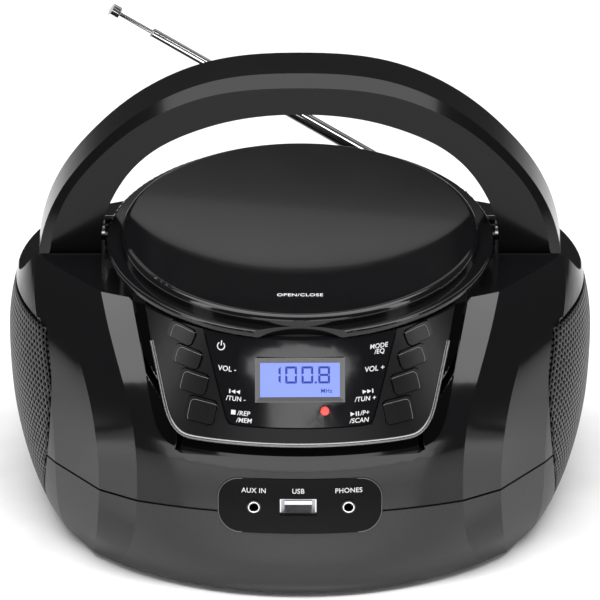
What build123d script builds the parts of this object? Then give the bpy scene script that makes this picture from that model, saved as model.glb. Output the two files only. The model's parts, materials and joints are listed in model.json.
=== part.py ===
"""Portable CD boombox: every sub-component of the radio, in one shared frame.

Millimetres. X runs to the right of the radio, Y to its rear, Z up; the origin is on the
ground under the middle of the casing.
"""
import os
from math import atan2, cos, degrees, radians, sin, sqrt

from build123d import *

# ---------------------------------------------------------------- driving dimensions
WALL = 2.6                      # casing wall
SKIN = 1.2                      # depth of trims and grilles let into the casing
BASE_Z = 2.5                    # underside of the casing; the feet fill the gap to the ground
SEAM_Z = 35.0                   # joint between the lower and the upper case
DECK_Z = 103.0                  # top of the case in front of the handle
REAR_DECK_Z = 88.0              # lower deck the folded handle lies above
DECK_STEP_Y = 20.0

LID_Y, LID_Z, LID_TILT = -9.0, 113.5, 4.8
LID_R, INSERT_R = 77.0, 71.2
RIM_T, INSERT_T = 3.2, 4.4
TURRET_R, WELL_R = 75.2, 72.0

PIVOT_Y, PIVOT_Z, ARM_R = 14.0, 106.0, 14.0     # handle pivot axis, along X
ARM_IN, ARM_OUT = 79.0, 104.2

JACK_Z = 37.7
JACKS = {"aux_jack": -18.2, "phones_jack": 19.2}
JACK_BORE_R = 1.8
USB_X, USB_W, USB_H = -0.7, 14.4, 6.8
PANEL_HALF_W, PANEL_HALF_H = 32.6, 11.0

SPEAKER_Y, SPEAKER_Z = 8.0, 47.0
GRILLE_R, BAFFLE_R, CONE_R = 55.5, 42.0, 34.0
BAFFLE_X = 92.0

ELBOW = (60.0, 99.0, 80.5)
ROD_ANGLE = 31.9                # above the horizontal, towards -X

SCREWS = [(x, y) for x in (-72, 72) for y in (-46, 34)]

HINGE_Y, HINGE_Z = 60.0, 113.7                  # lid hinge axis, along X
HINGE_PIN_R, KNUCKLE_R, LID_KNUCKLE = 1.1, 2.0, 12.0

BUTTON_TRAVEL = 1.2
BUTTON_GAP = 0.35
# half offset in x, height z, width, height, turn of the outline
BUTTONS = (
    (46.6, 101.0, 12.0, 6.6, 12.0),
    (44.4, 93.0, 12.2, 7.2, 9.0),
    (42.0, 84.3, 12.2, 8.2, 7.0),
    (38.9, 74.4, 12.2, 9.4, 5.0),
)
BUTTON_NAMES = {
    -1: ("power_button", "volume_down_button", "skip_back_button", "stop_button"),
    1: ("mode_button", "volume_up_button", "skip_forward_button", "play_button"),
}

# casing stations: z, front y, band inner, band outer, cheek, widest, rear corner, rear y
STATIONS = (
    (2.5, -103.5, (72, -77), (82, -67), (92, -47), (99, 8), (86, 64), 88),
    (12, -103.5, (68, -84), (81, -73), (95.5, -52), (107, 8), (94, 68), 94),
    (25, -101.5, (65.2, -87.5), (80, -77), (97, -53), (112, 8), (99, 71), 97),
    (38.5, -98.5, (64.4, -87), (79.6, -77), (97.5, -52), (114.8, 8), (101, 72), 98),
    (55, -96, (64.8, -85.5), (80.6, -74.5), (98.5, -48), (116.2, 8), (102, 72), 98),
    (70, -88.5, (67, -79.5), (83.5, -66), (100.5, -40), (116.2, 8), (101, 71), 97.5),
    (85, -76, (72, -66), (89, -49), (104.5, -27), (113.8, 8), (98.5, 69), 96.5),
    (98, -63, (77, -48), (94, -27), (105.8, -10), (110.2, 10), (94, 66), 95.5),
    (107, -50, (81, -26), (98, -4), (103.5, 3), (106, 14), (88, 63), 94),
    (113, -40, (84, -8), (97, 4), (100, 9), (101.5, 17), (82, 60), 93),
)
# control panel stations: z, y on the centre line, radius in plan
PANEL_STATIONS = ((50, -101.5, 135), (60, -98.6, 125), (75, -93.5, 110), (90, -88.5, 97), (108, -82.6, 84))


# ---------------------------------------------------------------- shared volumes
def hull(inset):
    """Casing volume, shrunk towards its own upright axis by about `inset` mm."""
    k = 1 - inset / 100
    with BuildPart() as solid:
        for z, fy, bi, bo, ck, wd, rc, ry in STATIONS:
            with BuildSketch(Plane.XY.offset(z)):
                with BuildLine():
                    pts = [(x * k, 8 + (y - 8) * k) for x, y in ((0, fy), bi, bo, ck, wd, rc, (0, ry))]
                    f, p, q, c, w, r, b = pts
                    mp, mq, mc, mw, mr = [(-x, y) for x, y in (p, q, c, w, r)]
                    ThreePointArc(mp, f, p)
                    Line(p, q)
                    Line(q, c)
                    ThreePointArc(c, w, r)
                    ThreePointArc(r, b, mr)
                    ThreePointArc(mr, mw, mc)
                    Line(mc, mq)
                    Line(mq, mp)
                make_face()
        loft()
    return solid.part


def column_band():
    """Volume of the polished strip down the left front corner."""
    with BuildPart() as solid:
        for z, _, bi, bo, *_ in STATIONS:
            with BuildSketch(Plane.XY.offset(z)):
                with BuildLine():
                    out = [(-x * 1.02, 8 + (y - 8) * 1.02) for x, y in (bi, bo)]
                    ins = [(-x * 0.96, 8 + (y - 8) * 0.96) for x, y in (bo, bi)]
                    Polyline(*out, *ins, close=True)
                make_face()
        loft()
    return solid.part


def both_sides(left):
    """A left-hand piece and its mirror image, by side."""
    return {-1: left, 1: mirror(left, about=Plane.YZ)}


def panel_volume(inset):
    """Bowed control-panel volume in front of the disc turret."""
    with BuildPart() as solid:
        for z, fy, r in PANEL_STATIONS:
            y0, w = fy + inset, 70.0
            ys = y0 + (r - inset) - sqrt((r - inset) ** 2 - w * w)
            with BuildSketch(Plane.XY.offset(z)):
                with BuildLine():
                    ThreePointArc((-w, ys), (0, y0), (w, ys))
                    Polyline((w, ys), (w, -5), (-w, -5), (-w, ys))
                make_face()
        loft()
    return solid.part


def front_prism(points, y0=-130.0, y1=-20.0, radius=0.0):
    """Prism along Y of a left-right symmetric outline given by its right half (x, z)."""
    full = list(points) + [(-x, z) for x, z in reversed(points) if x > 0]
    with BuildPart() as solid:
        with BuildSketch(Plane.XZ.offset(-y0)) as sk:
            with BuildLine():
                Polyline(*full, close=True)
            make_face()
            if radius:
                fillet(sk.vertices().filter_by(lambda v: v.Z < 80), radius)
        extrude(amount=y0 - y1)
    return solid.part


def tube_x(radius, x0, x1, y, z, inner=0.0):
    """Round bar or tube lying along X."""
    with BuildPart() as solid:
        with BuildSketch(Plane.YZ.offset(x0)):
            with Locations((y, z)):
                Circle(radius)
                if inner:
                    Circle(inner, mode=Mode.SUBTRACT)
        extrude(amount=x1 - x0)
    return solid.part


def block(x0, x1, y0, y1, z0, z1):
    """Plain box by its limits."""
    with BuildPart() as solid:
        with Locations(((x0 + x1) / 2, (y0 + y1) / 2, (z0 + z1) / 2)):
            Box(x1 - x0, y1 - y0, z1 - z0)
    return solid.part


def disc(radius, z0, z1, plane, inner=0.0):
    """Round slice standing on a plane."""
    with BuildPart() as solid:
        with BuildSketch(plane.offset(z0)):
            Circle(radius)
            if inner:
                Circle(inner, mode=Mode.SUBTRACT)
        extrude(amount=z1 - z0)
    return solid.part


def panel_y(x, z, inset=0.0):
    """Depth of the control-panel surface at a point of the front view."""
    rows = PANEL_STATIONS
    for (z0, y0, r0), (z1, y1, r1) in zip(rows, rows[1:]):
        if z <= z1:
            break
    t = (z - z0) / (z1 - z0)
    fy, r = y0 + (y1 - y0) * t + inset, r0 + (r1 - r0) * t - inset
    return fy + r - sqrt(r * r - x * x)


def panel_normal(x, z):
    """Outward unit normal of the control-panel surface."""
    d = 0.5
    dx = (panel_y(x + d, z) - panel_y(x - d, z)) / (2 * d)
    dz = (panel_y(x, z + d) - panel_y(x, z - d)) / (2 * d)
    return Vector(dx, -1, dz).normalized()


lid_plane = Plane(origin=(0, LID_Y, LID_Z), x_dir=(1, 0, 0),
                  z_dir=(0, -sin(radians(LID_TILT)), cos(radians(LID_TILT))))
well_plane = Plane(origin=(0, LID_Y, 0))

outer, mid, inner = hull(0), hull(SKIN), hull(WALL)
bulge, bulge_3, bulge_6 = panel_volume(0), panel_volume(3.0), panel_volume(5.6)
bulge_proud = panel_volume(-0.9)

RECESS = [(0, 57.6), (47, 57.2), (53.5, 60.5), (57.6, 67.5), (60.6, 82), (68, 112), (68, 125), (0, 125)]
BEZEL = [(0, 63.4), (44, 63.0), (50, 65.5), (53.2, 71.0), (56.4, 84), (62.5, 112), (62.5, 125), (0, 125)]
LENS = [(0, 70.4), (28.4, 70.4), (31.8, 82), (38.2, 104), (44, 125), (0, 125)]
recess_prism, bezel_prism = front_prism(RECESS), front_prism(BEZEL)
lens_prism = front_prism(LENS)
# everything above the underside of the closed lid
lid_space = disc(140, -RIM_T - 0.5, 60, lid_plane)

front_block = block(-140, 140, -140, DECK_STEP_Y, -5, DECK_Z)
rear_block = block(-140, 140, DECK_STEP_Y - 0.1, 140, -5, REAR_DECK_Z)
case_limits = front_block + rear_block
void_limits = block(-140, 140, -140, DECK_STEP_Y - WALL, -5, DECK_Z - WALL) + block(
    -140, 140, 0, 140, -5, REAR_DECK_Z - WALL)
turret = disc(TURRET_R, 70, 140, well_plane)
turret_void = disc(WELL_R, 60, 140, well_plane)

pocket_r = ARM_R + 1.6
pockets = [tube_x(pocket_r, s * (ARM_IN - 1.0), s * 125, PIVOT_Y, PIVOT_Z) for s in (-1, 1)]
pocket_shields = [tube_x(pocket_r + WALL, s * (ARM_IN - 1.0 - WALL), s * 125, PIVOT_Y, PIVOT_Z) for s in (-1, 1)]
bosses = [tube_x(6.0, s * (ARM_IN - WALL - 6), s * (ARM_IN - 1.0), PIVOT_Y, PIVOT_Z) for s in (-1, 1)]

with BuildPart() as case_solid:
    add(outer)
    add(case_limits, mode=Mode.INTERSECT)
    add(turret)
    add(bulge & block(-70, 70, -130, 0, 50, 120) & recess_prism)
    add(lid_space, mode=Mode.SUBTRACT)

with BuildPart() as case_void:
    add(inner)
    add(void_limits, mode=Mode.INTERSECT)
    add(block(-140, 140, -140, 140, -5, BASE_Z + WALL), mode=Mode.SUBTRACT)
    add(bulge_6 & front_prism([(0, 66), (50, 66), (58, 84), (64, 112), (64, 125), (0, 125)]) & block(
        -70, 70, -130, -20, 62, 99))
    for shield in pocket_shields:
        add(shield, mode=Mode.SUBTRACT)
    add(turret_void)

case_body = case_solid.part - case_void.part
groove = (outer - mid) & block(-140, 140, -140, 140, SEAM_Z - 0.45, SEAM_Z + 0.45)
skin_void = outer - mid
grille_zone = tube_x(GRILLE_R, -60, -125, SPEAKER_Y, SPEAKER_Z) & block(-140, 140, -60, 62, 6.5, 86.5)
trims = both_sides(((column_band() & outer) - mid) & block(-140, 140, -140, 0, 4.5, DECK_Z))
grilles = both_sides(skin_void & grille_zone)

pill_w, pill_h = PANEL_HALF_W, PANEL_HALF_H
with BuildPart() as pill_prism:
    with BuildSketch(Plane.XZ.offset(80)):
        with Locations((0, JACK_Z + 0.6)):
            RectangleRounded(2 * pill_w, 2 * pill_h, pill_h - 2.5)
    extrude(amount=60)

with BuildPart() as door_zone:
    with BuildSketch(Plane.XZ.offset(-60)):
        with Locations((0, 20.5)):
            RectangleRounded(98, 23, 3)
    extrude(amount=-60)
with BuildPart() as door_opening:
    with BuildSketch(Plane.XZ.offset(-60)):
        with Locations((0, 20.5)):
            RectangleRounded(98.8, 23.8, 3.4)
    extrude(amount=-60)
bay_outer = block(-51, 51, 52, 110, 7.0, 33.6) & inner
bay_inner = block(-49, 49, 54, 120, 8.5, 32.1)

inlet_box = block(-75, -53, 74, 93, 14, 30)
cuts = [groove, pill_prism.part, door_opening.part, inlet_box]
cuts += list(grilles.values()) + list(trims.values())
cuts += [tube_x(38.0, s * 60, s * 125, SPEAKER_Y, SPEAKER_Z) for s in (-1, 1)]
pivot_holes = [tube_x(4.1, s * (ARM_IN - 5.2), s * (ARM_IN + 12), PIVOT_Y, PIVOT_Z) for s in (-1, 1)]

hinge_notch = (disc(TURRET_R + 5, HINGE_Z - 2.2, 140, well_plane, WELL_R - 4)
               & block(-38, 38, 50, 80, 100, 140)) - block(-22, 22, HINGE_Y - 12, HINGE_Y - 1.5, 100, 140)

# ---------------------------------------------------------------- casing
with BuildPart() as lower_case:
    add(case_body & block(-140, 140, -140, 140, -5, SEAM_Z))
    with Locations(*[(x, y, 12) for x in (-46, 46) for y in (-22, 30)]):
        Cylinder(3.2, 14)                       # posts the main board stands on
    for c in cuts:
        add(c, mode=Mode.SUBTRACT)
    with Locations(*[(x, y, BASE_Z + WALL + 4.5) for x, y in SCREWS]):
        Cylinder(4.6, 9.2)                      # screw bosses
    with Locations(*[(x, y, BASE_Z) for x, y in SCREWS]):
        Cylinder(4.0, 3.0, mode=Mode.SUBTRACT)
        Cylinder(1.7, 24.0, mode=Mode.SUBTRACT)
lower_case.part.label = "lower_case"

with BuildPart() as upper_case:
    add(case_body & block(-140, 140, -140, 140, SEAM_Z, 140))
    add(bosses[0] & block(-140, 140, -40, 60, 60, 112))
    add(bosses[1] & block(-140, 140, -40, 60, 60, 112))
    add(hinge_notch, mode=Mode.SUBTRACT)
    for x in (-16.25, 16.25):                   # hinge brackets of the lid
        add(block(x - 3.75, x + 3.75, HINGE_Y - KNUCKLE_R, 64, 104, HINGE_Z - 2.3))
        add(block(x - 3.75, x + 3.75, HINGE_Y - KNUCKLE_R, HINGE_Y + KNUCKLE_R - 0.2, 104, HINGE_Z))
        add(tube_x(KNUCKLE_R, x - 3.75, x + 3.75, HINGE_Y, HINGE_Z))
    add(tube_x(HINGE_PIN_R, -20, 20, HINGE_Y, HINGE_Z), mode=Mode.SUBTRACT)
    for x0, x1 in ((-130, -ARM_IN + 1), (ARM_IN - 1, 130)):
        add(block(x0, x1, PIVOT_Y, DECK_STEP_Y + 1, PIVOT_Z - pocket_r, 130), mode=Mode.SUBTRACT)
    for pocket in pockets:
        add(pocket, mode=Mode.SUBTRACT)
    for c in cuts:
        add(c, mode=Mode.SUBTRACT)
    add((bulge - bulge_3) & recess_prism & block(-80, 80, -130, 0, 50, 130), mode=Mode.SUBTRACT)
    add(bezel_prism & block(-80, 80, -130, -30, 60, 130) & (bulge - bulge_6), mode=Mode.SUBTRACT)
    for hole in pivot_holes:
        add(hole, mode=Mode.SUBTRACT)
upper_case.part.label = "upper_case"

# ---------------------------------------------------------------- front and side trims
SIDES = {"left": -1, "right": 1}


def panel_key(x, z, w, h, turn, front, back, corner=2.0):
    """Key-shaped prism standing square to the control panel at (x, z)."""
    n = panel_normal(x, z)
    at = Vector(x, panel_y(x, z), z)
    across = Vector(0, 0, 1).cross(n).normalized() * -1
    with BuildPart() as solid:
        with BuildSketch(Plane(origin=at + n * front, x_dir=across * -1, z_dir=n)):
            with Locations(Location((0, 0), turn)):
                RectangleRounded(w, h, corner)
        extrude(amount=-(front + back))
    return solid.part


buttons = [(name, s, row) for s, names in BUTTON_NAMES.items() for name, row in zip(names, BUTTONS)]
key_holes = [panel_key(s * x, z, w + 2 * BUTTON_GAP, h + 2 * BUTTON_GAP, s * turn, 8, 9, 2.2)
             for _, s, (x, z, w, h, turn) in buttons]

with BuildPart() as fascia_bezel:
    add((bulge - bulge_3) & bezel_prism & block(-80, 80, -130, -30, 60, 130))
    add(lid_space, mode=Mode.SUBTRACT)
    add(lens_prism, mode=Mode.SUBTRACT)
    for hole in key_holes:
        add(hole, mode=Mode.SUBTRACT)
fascia_bezel.part.label = "fascia_bezel"

led_x, led_z = 9.8, 76.7
led_n = panel_normal(led_x, led_z)
led_plane = Plane(origin=(led_x, panel_y(led_x, led_z), led_z), z_dir=led_n)
with BuildPart() as display_lens:
    add((bulge - bulge_3) & lens_prism & block(-80, 80, -130, -30, 60, 130))
    add(lid_space, mode=Mode.SUBTRACT)
    add(disc(2.0, -6, 4, led_plane), mode=Mode.SUBTRACT)
display_lens.part.label = "display_lens"

with BuildPart() as power_led:
    add(disc(1.9, -4.6, 0.3, led_plane))
    fillet(power_led.edges().group_by(Axis.Y)[0], 0.5)
power_led.part.label = "power_led"

lcd_z = 88.5
lcd_n = Vector(0, -cos(radians(18.4)), sin(radians(18.4)))
lcd_plane = Plane(origin=Vector(0, panel_y(0, lcd_z), lcd_z) + lcd_n * -5.7, x_dir=(1, 0, 0), z_dir=lcd_n)
with BuildPart() as lcd_module:
    with BuildSketch(lcd_plane):
        RectangleRounded(36, 17, 0.8)
    extrude(amount=-4.0)
    with BuildSketch(lcd_plane):
        Rectangle(30.5, 13.5)
    extrude(amount=-0.8, mode=Mode.SUBTRACT)
lcd_module.part.label = "lcd_module"

keys = {}
for name, s, (x, z, w, h, turn) in buttons:
    with BuildPart() as key:
        add(panel_key(s * x, z, w, h, s * turn, 3, 4))
        add(bulge_proud, mode=Mode.INTERSECT)
        add(lid_space, mode=Mode.SUBTRACT)
    key.part.label = name
    keys[name] = key.part

with BuildPart() as column_trim_left:
    add(trims[-1])
    add(groove, mode=Mode.SUBTRACT)
column_trim_left.part.label = "column_trim_left"

with BuildPart() as column_trim_right:
    add(trims[1])
    add(groove, mode=Mode.SUBTRACT)
column_trim_right.part.label = "column_trim_right"

with BuildPart() as jack_panel:
    add((hull(-0.5) - hull(4.2)) & pill_prism.part)
    for x in JACKS.values():
        with Locations(Location((x, -95, JACK_Z), (90, 0, 0))):
            Cylinder(2.95, 40, mode=Mode.SUBTRACT)
    add(block(USB_X - USB_W / 2, USB_X + USB_W / 2, -120, -80, JACK_Z - USB_H / 2, JACK_Z + USB_H / 2),
        mode=Mode.SUBTRACT)
jack_panel.part.label = "jack_panel"

jack_parts = {}
for name, x in JACKS.items():
    front = -98.6
    with BuildPart() as jack:
        with BuildSketch(Plane.XZ.offset(-front)):
            with Locations((x, JACK_Z)):
                Circle(2.9)
                Circle(JACK_BORE_R, mode=Mode.SUBTRACT)
        extrude(amount=-12.0)
        with Locations((x, front + 16.0, JACK_Z)):
            Box(11, 8, 9)                       # contact block behind the panel
    jack.part.label = name
    jack_parts[name] = jack.part

with BuildPart() as usb_socket:
    with Locations((USB_X, -91.0, JACK_Z)):
        Box(USB_W, 14.0, USB_H)
    with Locations((USB_X, -92.0, JACK_Z)):
        Box(USB_W - 1.0, 14.0, USB_H - 1.0, mode=Mode.SUBTRACT)
    with Locations((USB_X, -90.6, JACK_Z + 0.9)):
        Box(USB_W - 3.6, 12.0, 1.7)             # contact tongue
usb_socket.part.label = "usb_socket"

grille_parts = {}
for side, s in SIDES.items():
    with BuildPart() as grille:
        add(grilles[s])
        add(trims[s], mode=Mode.SUBTRACT)
    grille.part.label = "speaker_grille_" + side
    grille_parts[side] = grille.part

# ---------------------------------------------------------------- loudspeakers
speaker_parts = {}
for side, s in SIDES.items():
    with BuildPart() as baffle:
        add(tube_x(BAFFLE_R, s * BAFFLE_X, s * 125, SPEAKER_Y, SPEAKER_Z, 38.0))
        add(inner, mode=Mode.INTERSECT)
        add(block(-140, 140, -140, 140, 5.1, REAR_DECK_Z - WALL), mode=Mode.INTERSECT)
    baffle.part.label = "speaker_baffle_" + side

    with BuildPart() as frame:
        with BuildSketch(Plane.XZ):
            with BuildLine():
                Polyline((74, 0), (74, 15), (88.6, 35), (90, 39.2), (92, 39.2), (92, 35.6), (90.4, 34.6),
                         (76.4, 14), (76.4, 0), close=True)
            make_face()
        revolve(axis=Axis.X)
    frame_body = frame.part if s > 0 else mirror(frame.part, about=Plane.YZ)
    with BuildPart() as speaker_frame:
        add(Location((0, SPEAKER_Y, SPEAKER_Z)) * frame_body)
    speaker_frame.part.label = "speaker_frame_" + side

    with BuildPart() as magnet:
        add(tube_x(20, s * 62, s * 74, SPEAKER_Y, SPEAKER_Z))
    magnet.part.label = "speaker_magnet_" + side

    with BuildPart() as cone:
        with BuildSketch(Plane.XZ):
            with BuildLine():
                Polyline((78.2, 0), (80.2, 10), (91.2, 31), (92, 33), (92, 37.6), (93, 37.6), (93, 35.5),
                         (94.4, 33.6), (92.4, 30.6), (82.2, 11), (84.4, 6), (85.4, 0), close=True)
            make_face()
        revolve(axis=Axis.X)
    cone_body = cone.part if s > 0 else mirror(cone.part, about=Plane.YZ)
    with BuildPart() as speaker_cone:
        add(Location((0, SPEAKER_Y, SPEAKER_Z)) * cone_body)
    speaker_cone.part.label = "speaker_cone_" + side
    for p in (baffle.part, speaker_frame.part, magnet.part, speaker_cone.part):
        speaker_parts[p.label] = p

# ---------------------------------------------------------------- disc bay
with BuildPart() as cd_well:
    add(disc(WELL_R, 96.0, 140, well_plane))
    add(disc(WELL_R - 2.2, 98.0, 140, well_plane), mode=Mode.SUBTRACT)
    add(lid_space, mode=Mode.SUBTRACT)
    add(disc(20.0, 90, 100, well_plane), mode=Mode.SUBTRACT)          # turntable hole
    add(block(-8, 8, LID_Y - 56, LID_Y - 10, 90, 100), mode=Mode.SUBTRACT)   # window for the laser
    add(block(-38, 38, 52, 80, 103, 140), mode=Mode.SUBTRACT)         # hinge recess
cd_well.part.label = "cd_well"

RAIL_X, RAIL_Z, RAIL_R = 17.0, 88.0, 1.3
with BuildPart() as cd_chassis:
    add(block(-46, 46, LID_Y - 60, LID_Y + 40, 80, 82))
    for x in (-40, 40):
        for y in (LID_Y - 54, LID_Y + 34):
            with Locations((x, y, 89)):
                Cylinder(3.4, 14)                                     # posts up to the well
    for x in (-RAIL_X, RAIL_X):
        for y in (LID_Y - 58, LID_Y - 9):
            add(block(x - 3, x + 3, y, y + 3, 82, 91))
    for x in (-RAIL_X, RAIL_X):
        with Locations(Location((x, LID_Y - 32, RAIL_Z), (90, 0, 0))):
            Cylinder(RAIL_R, 60, mode=Mode.SUBTRACT)
cd_chassis.part.label = "cd_chassis"

with BuildPart() as sled_rails:
    for x in (-RAIL_X, RAIL_X):
        with Locations(Location((x, LID_Y - 32, RAIL_Z), (90, 0, 0))):
            Cylinder(RAIL_R, 52)
sled_rails.part.label = "sled_rails"

with BuildPart() as laser_sled:
    add(block(-RAIL_X - 3, RAIL_X + 3, LID_Y - 34, LID_Y - 18, 85, 91))
    add(block(-6.5, 6.5, LID_Y - 33, LID_Y - 20, 91, 95))
    with Locations((0, LID_Y - 26.5, 96)):
        Cylinder(3.2, 2.4)                                            # lens
    for x in (-RAIL_X, RAIL_X):
        with Locations(Location((x, LID_Y - 26, RAIL_Z), (90, 0, 0))):
            Cylinder(RAIL_R + 0.15, 30, mode=Mode.SUBTRACT)
laser_sled.part.label = "laser_sled"

with BuildPart() as spindle_motor:
    add(disc(12.0, 82.0, 93.0, well_plane))
    add(disc(3.0, 93.0, 94.5, well_plane))
    add(disc(1.0, 94.5, 100.5, well_plane))
spindle_motor.part.label = "spindle_motor"

with BuildPart() as turntable:
    add(disc(16.0, 95.0, 98.5, well_plane))
    add(disc(7.2, 98.5, 100.6, well_plane))
    fillet(turntable.edges().group_by(Axis.Z)[-1], 1.2)
    add(disc(1.15, 90.0, 105.0, well_plane), mode=Mode.SUBTRACT)
turntable.part.label = "turntable"

# ---------------------------------------------------------------- lid
with BuildPart() as lid_shell:
    add(disc(LID_R, -RIM_T, 0, lid_plane))
    fillet(lid_shell.edges().filter_by(GeomType.CIRCLE), 1.1)
    add(disc(INSERT_R - 3, -RIM_T, -1.4, lid_plane), mode=Mode.SUBTRACT)
    with BuildSketch(lid_plane.offset(-RIM_T)):
        with Locations((0, -LID_R - 20)):
            Ellipse(35.2, 26.0)
    extrude(amount=20, mode=Mode.SUBTRACT)                            # finger notch
    add(disc(15.0, -RIM_T, -1.2, lid_plane))
    add(disc(12.2, -RIM_T - 1, -2.6, lid_plane), mode=Mode.SUBTRACT)
    add(disc(4.2, -RIM_T - 1, -1.6, lid_plane), mode=Mode.SUBTRACT)
    add(block(-LID_KNUCKLE, LID_KNUCKLE, HINGE_Y - 1.8, HINGE_Y + 1.8, HINGE_Z, HINGE_Z + 3.4))
    add(tube_x(KNUCKLE_R, -LID_KNUCKLE, LID_KNUCKLE, HINGE_Y, HINGE_Z))
    add(tube_x(HINGE_PIN_R + 0.1, -20, 20, HINGE_Y, HINGE_Z), mode=Mode.SUBTRACT)
lid_shell.part.label = "lid_shell"

with BuildPart() as lid_insert:
    add(disc(INSERT_R, 0, INSERT_T, lid_plane))
    fillet(lid_insert.edges().group_by(SortBy.LENGTH)[-1].group_by(Axis.Z)[-1], 2.6)
    with BuildSketch(lid_plane):
        with Locations((0, -LID_R - 20)):
            Ellipse(35.2, 26.0)
    extrude(amount=20, mode=Mode.SUBTRACT)
lid_insert.part.label = "lid_insert"

with BuildPart() as lid_hinge_pin:
    add(tube_x(HINGE_PIN_R, -20, 20, HINGE_Y, HINGE_Z))
lid_hinge_pin.part.label = "lid_hinge_pin"

with BuildPart() as disc_clamp:
    add(disc(12.0, -RIM_T - 2.4, -RIM_T + 0.4, lid_plane))
    add(disc(4.0, -RIM_T + 0.4, -RIM_T + 1.4, lid_plane))
    chamfer(disc_clamp.edges().group_by(Axis.Z)[0], 0.8)
disc_clamp.part.label = "disc_clamp"

# ---------------------------------------------------------------- handle
ARCH_OUT = [(0, 73), (35, 69.5), (66, 54.5), (82, 40), (95, 23), (101.6, 8), (ARM_OUT, -5)]
ARCH_IN = [(0, 57), (28, 54), (43.5, 49), (57, 42), (68.5, 31), (74.5, 21), (78, 12), (ARM_IN + 0.2, 2)]


def arch_points(half):
    """Left-to-right points of an arch given by its right half, above the pivot."""
    pts = [(-x, PIVOT_Z + z) for x, z in reversed(half) if x > 0] + [(x, PIVOT_Z + z) for x, z in half]
    return pts


def handle_slice(y0, y1):
    """Arch of the handle between two depths, its feet square at the pivot."""
    foot = PIVOT_Z - ARM_R - 2
    with BuildPart() as solid:
        with BuildSketch(Plane.XZ.offset(-y0)):
            with BuildLine():
                o, i = arch_points(ARCH_OUT), arch_points(ARCH_IN)
                Spline(*o)
                Polyline(o[-1], (ARM_OUT, foot), (ARM_IN + 0.2, foot), i[-1])
                Spline(*i)
                Polyline(i[0], (-ARM_IN - 0.2, foot), (-ARM_OUT, foot), o[0])
            make_face()
        extrude(amount=-(y1 - y0))
    return solid.part


handle_front_y, handle_split_y, handle_rear_y = PIVOT_Y - ARM_R, PIVOT_Y + 3, PIVOT_Y + ARM_R
handle_limits = block(-140, 140, -40, 60, PIVOT_Z, 200) + tube_x(ARM_R, -130, 130, PIVOT_Y, PIVOT_Z)
handle_pins = [tube_x(4.0, s * (ARM_IN - 5), s * (ARM_IN + 12), PIVOT_Y, PIVOT_Z) for s in (-1, 1)]

with BuildPart() as handle_front_shell:
    add(handle_slice(handle_front_y, handle_split_y))
    front_edges = handle_front_shell.edges().filter_by_position(Axis.Y, handle_front_y - 0.01, handle_front_y + 0.01)
    chamfer(front_edges.sort_by(SortBy.LENGTH)[-1], 4.5)
    add(handle_limits, mode=Mode.INTERSECT)
    for pin in handle_pins:
        add(pin, mode=Mode.SUBTRACT)
handle_front_shell.part.label = "handle_front_shell"

with BuildPart() as handle_rear_shell:
    add(handle_slice(handle_split_y, handle_rear_y))
    rear_edges = handle_rear_shell.edges().filter_by_position(Axis.Y, handle_rear_y - 0.01, handle_rear_y + 0.01)
    chamfer(rear_edges.sort_by(SortBy.LENGTH)[-1], 3.0)
    add(handle_limits, mode=Mode.INTERSECT)
    for pin in handle_pins:
        add(pin, mode=Mode.SUBTRACT)
handle_rear_shell.part.label = "handle_rear_shell"

with BuildPart() as handle_pivot_pins:
    for pin in handle_pins:
        add(pin)
handle_pivot_pins.part.label = "handle_pivot_pins"

# ---------------------------------------------------------------- telescopic antenna
rod_dir = Vector(-cos(radians(ROD_ANGLE)), 0, sin(radians(ROD_ANGLE)))
elbow = Vector(*ELBOW)


def along_rod(d):
    """Plane square to the antenna rod, d millimetres from the elbow."""
    return Plane(origin=elbow + rod_dir * d, x_dir=(0, 1, 0), z_dir=rod_dir)


def rod_piece(d0, d1, r_out, r_in=0.0):
    """Length of tube or rod on the antenna axis."""
    return disc(r_out, 0, d1 - d0, along_rod(d0), r_in)


pin_dir = Vector(sin(radians(ROD_ANGLE)), 0, cos(radians(ROD_ANGLE)))
pin_plane = Plane(origin=elbow, x_dir=(0, 1, 0), z_dir=pin_dir)
swivel_plane = Plane(origin=(ELBOW[0], 0, ELBOW[2]), x_dir=(1, 0, 0), z_dir=(0, 1, 0))
with BuildPart() as antenna_bracket:
    add(block(ELBOW[0] - 8, ELBOW[0] + 8, 80, 93.6, ELBOW[2] - 8, ELBOW[2] + 6.5))
    add(outer, mode=Mode.SUBTRACT)
    add(disc(2.5, 80, 95, swivel_plane), mode=Mode.SUBTRACT)
antenna_bracket.part.label = "antenna_bracket"

with BuildPart() as antenna_swivel:
    add(disc(6.4, 93.8, 95.6, swivel_plane))
    add(disc(2.4, 90.5, 93.8, swivel_plane))
    with BuildSketch(along_rod(-4.0)):
        for v in (-3.35, 3.35):
            with Locations((ELBOW[1] - 99.0 + 0.2, v)):
                Rectangle(7.2, 1.3)
    extrude(amount=8.0)
    add(disc(0.9, -6, 6, pin_plane), mode=Mode.SUBTRACT)
antenna_swivel.part.label = "antenna_swivel"

with BuildPart() as antenna_tube_1:
    add(disc(2.6, -2.4, 2.4, pin_plane))
    add(rod_piece(2, 8, 2.2))
    add(rod_piece(6, 95, 2.95))
    add(rod_piece(8, 96, 2.6), mode=Mode.SUBTRACT)
    add(disc(1.0, -5, 5, pin_plane), mode=Mode.SUBTRACT)
antenna_tube_1.part.label = "antenna_tube_1"

with BuildPart() as antenna_pin:
    add(disc(0.9, -4.6, 4.6, pin_plane))
antenna_pin.part.label = "antenna_pin"

with BuildPart() as antenna_tube_2:
    add(rod_piece(28, 113, 2.5, 2.1))
antenna_tube_2.part.label = "antenna_tube_2"

with BuildPart() as antenna_tube_3:
    add(rod_piece(53, 141, 2.0, 1.6))
antenna_tube_3.part.label = "antenna_tube_3"

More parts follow.
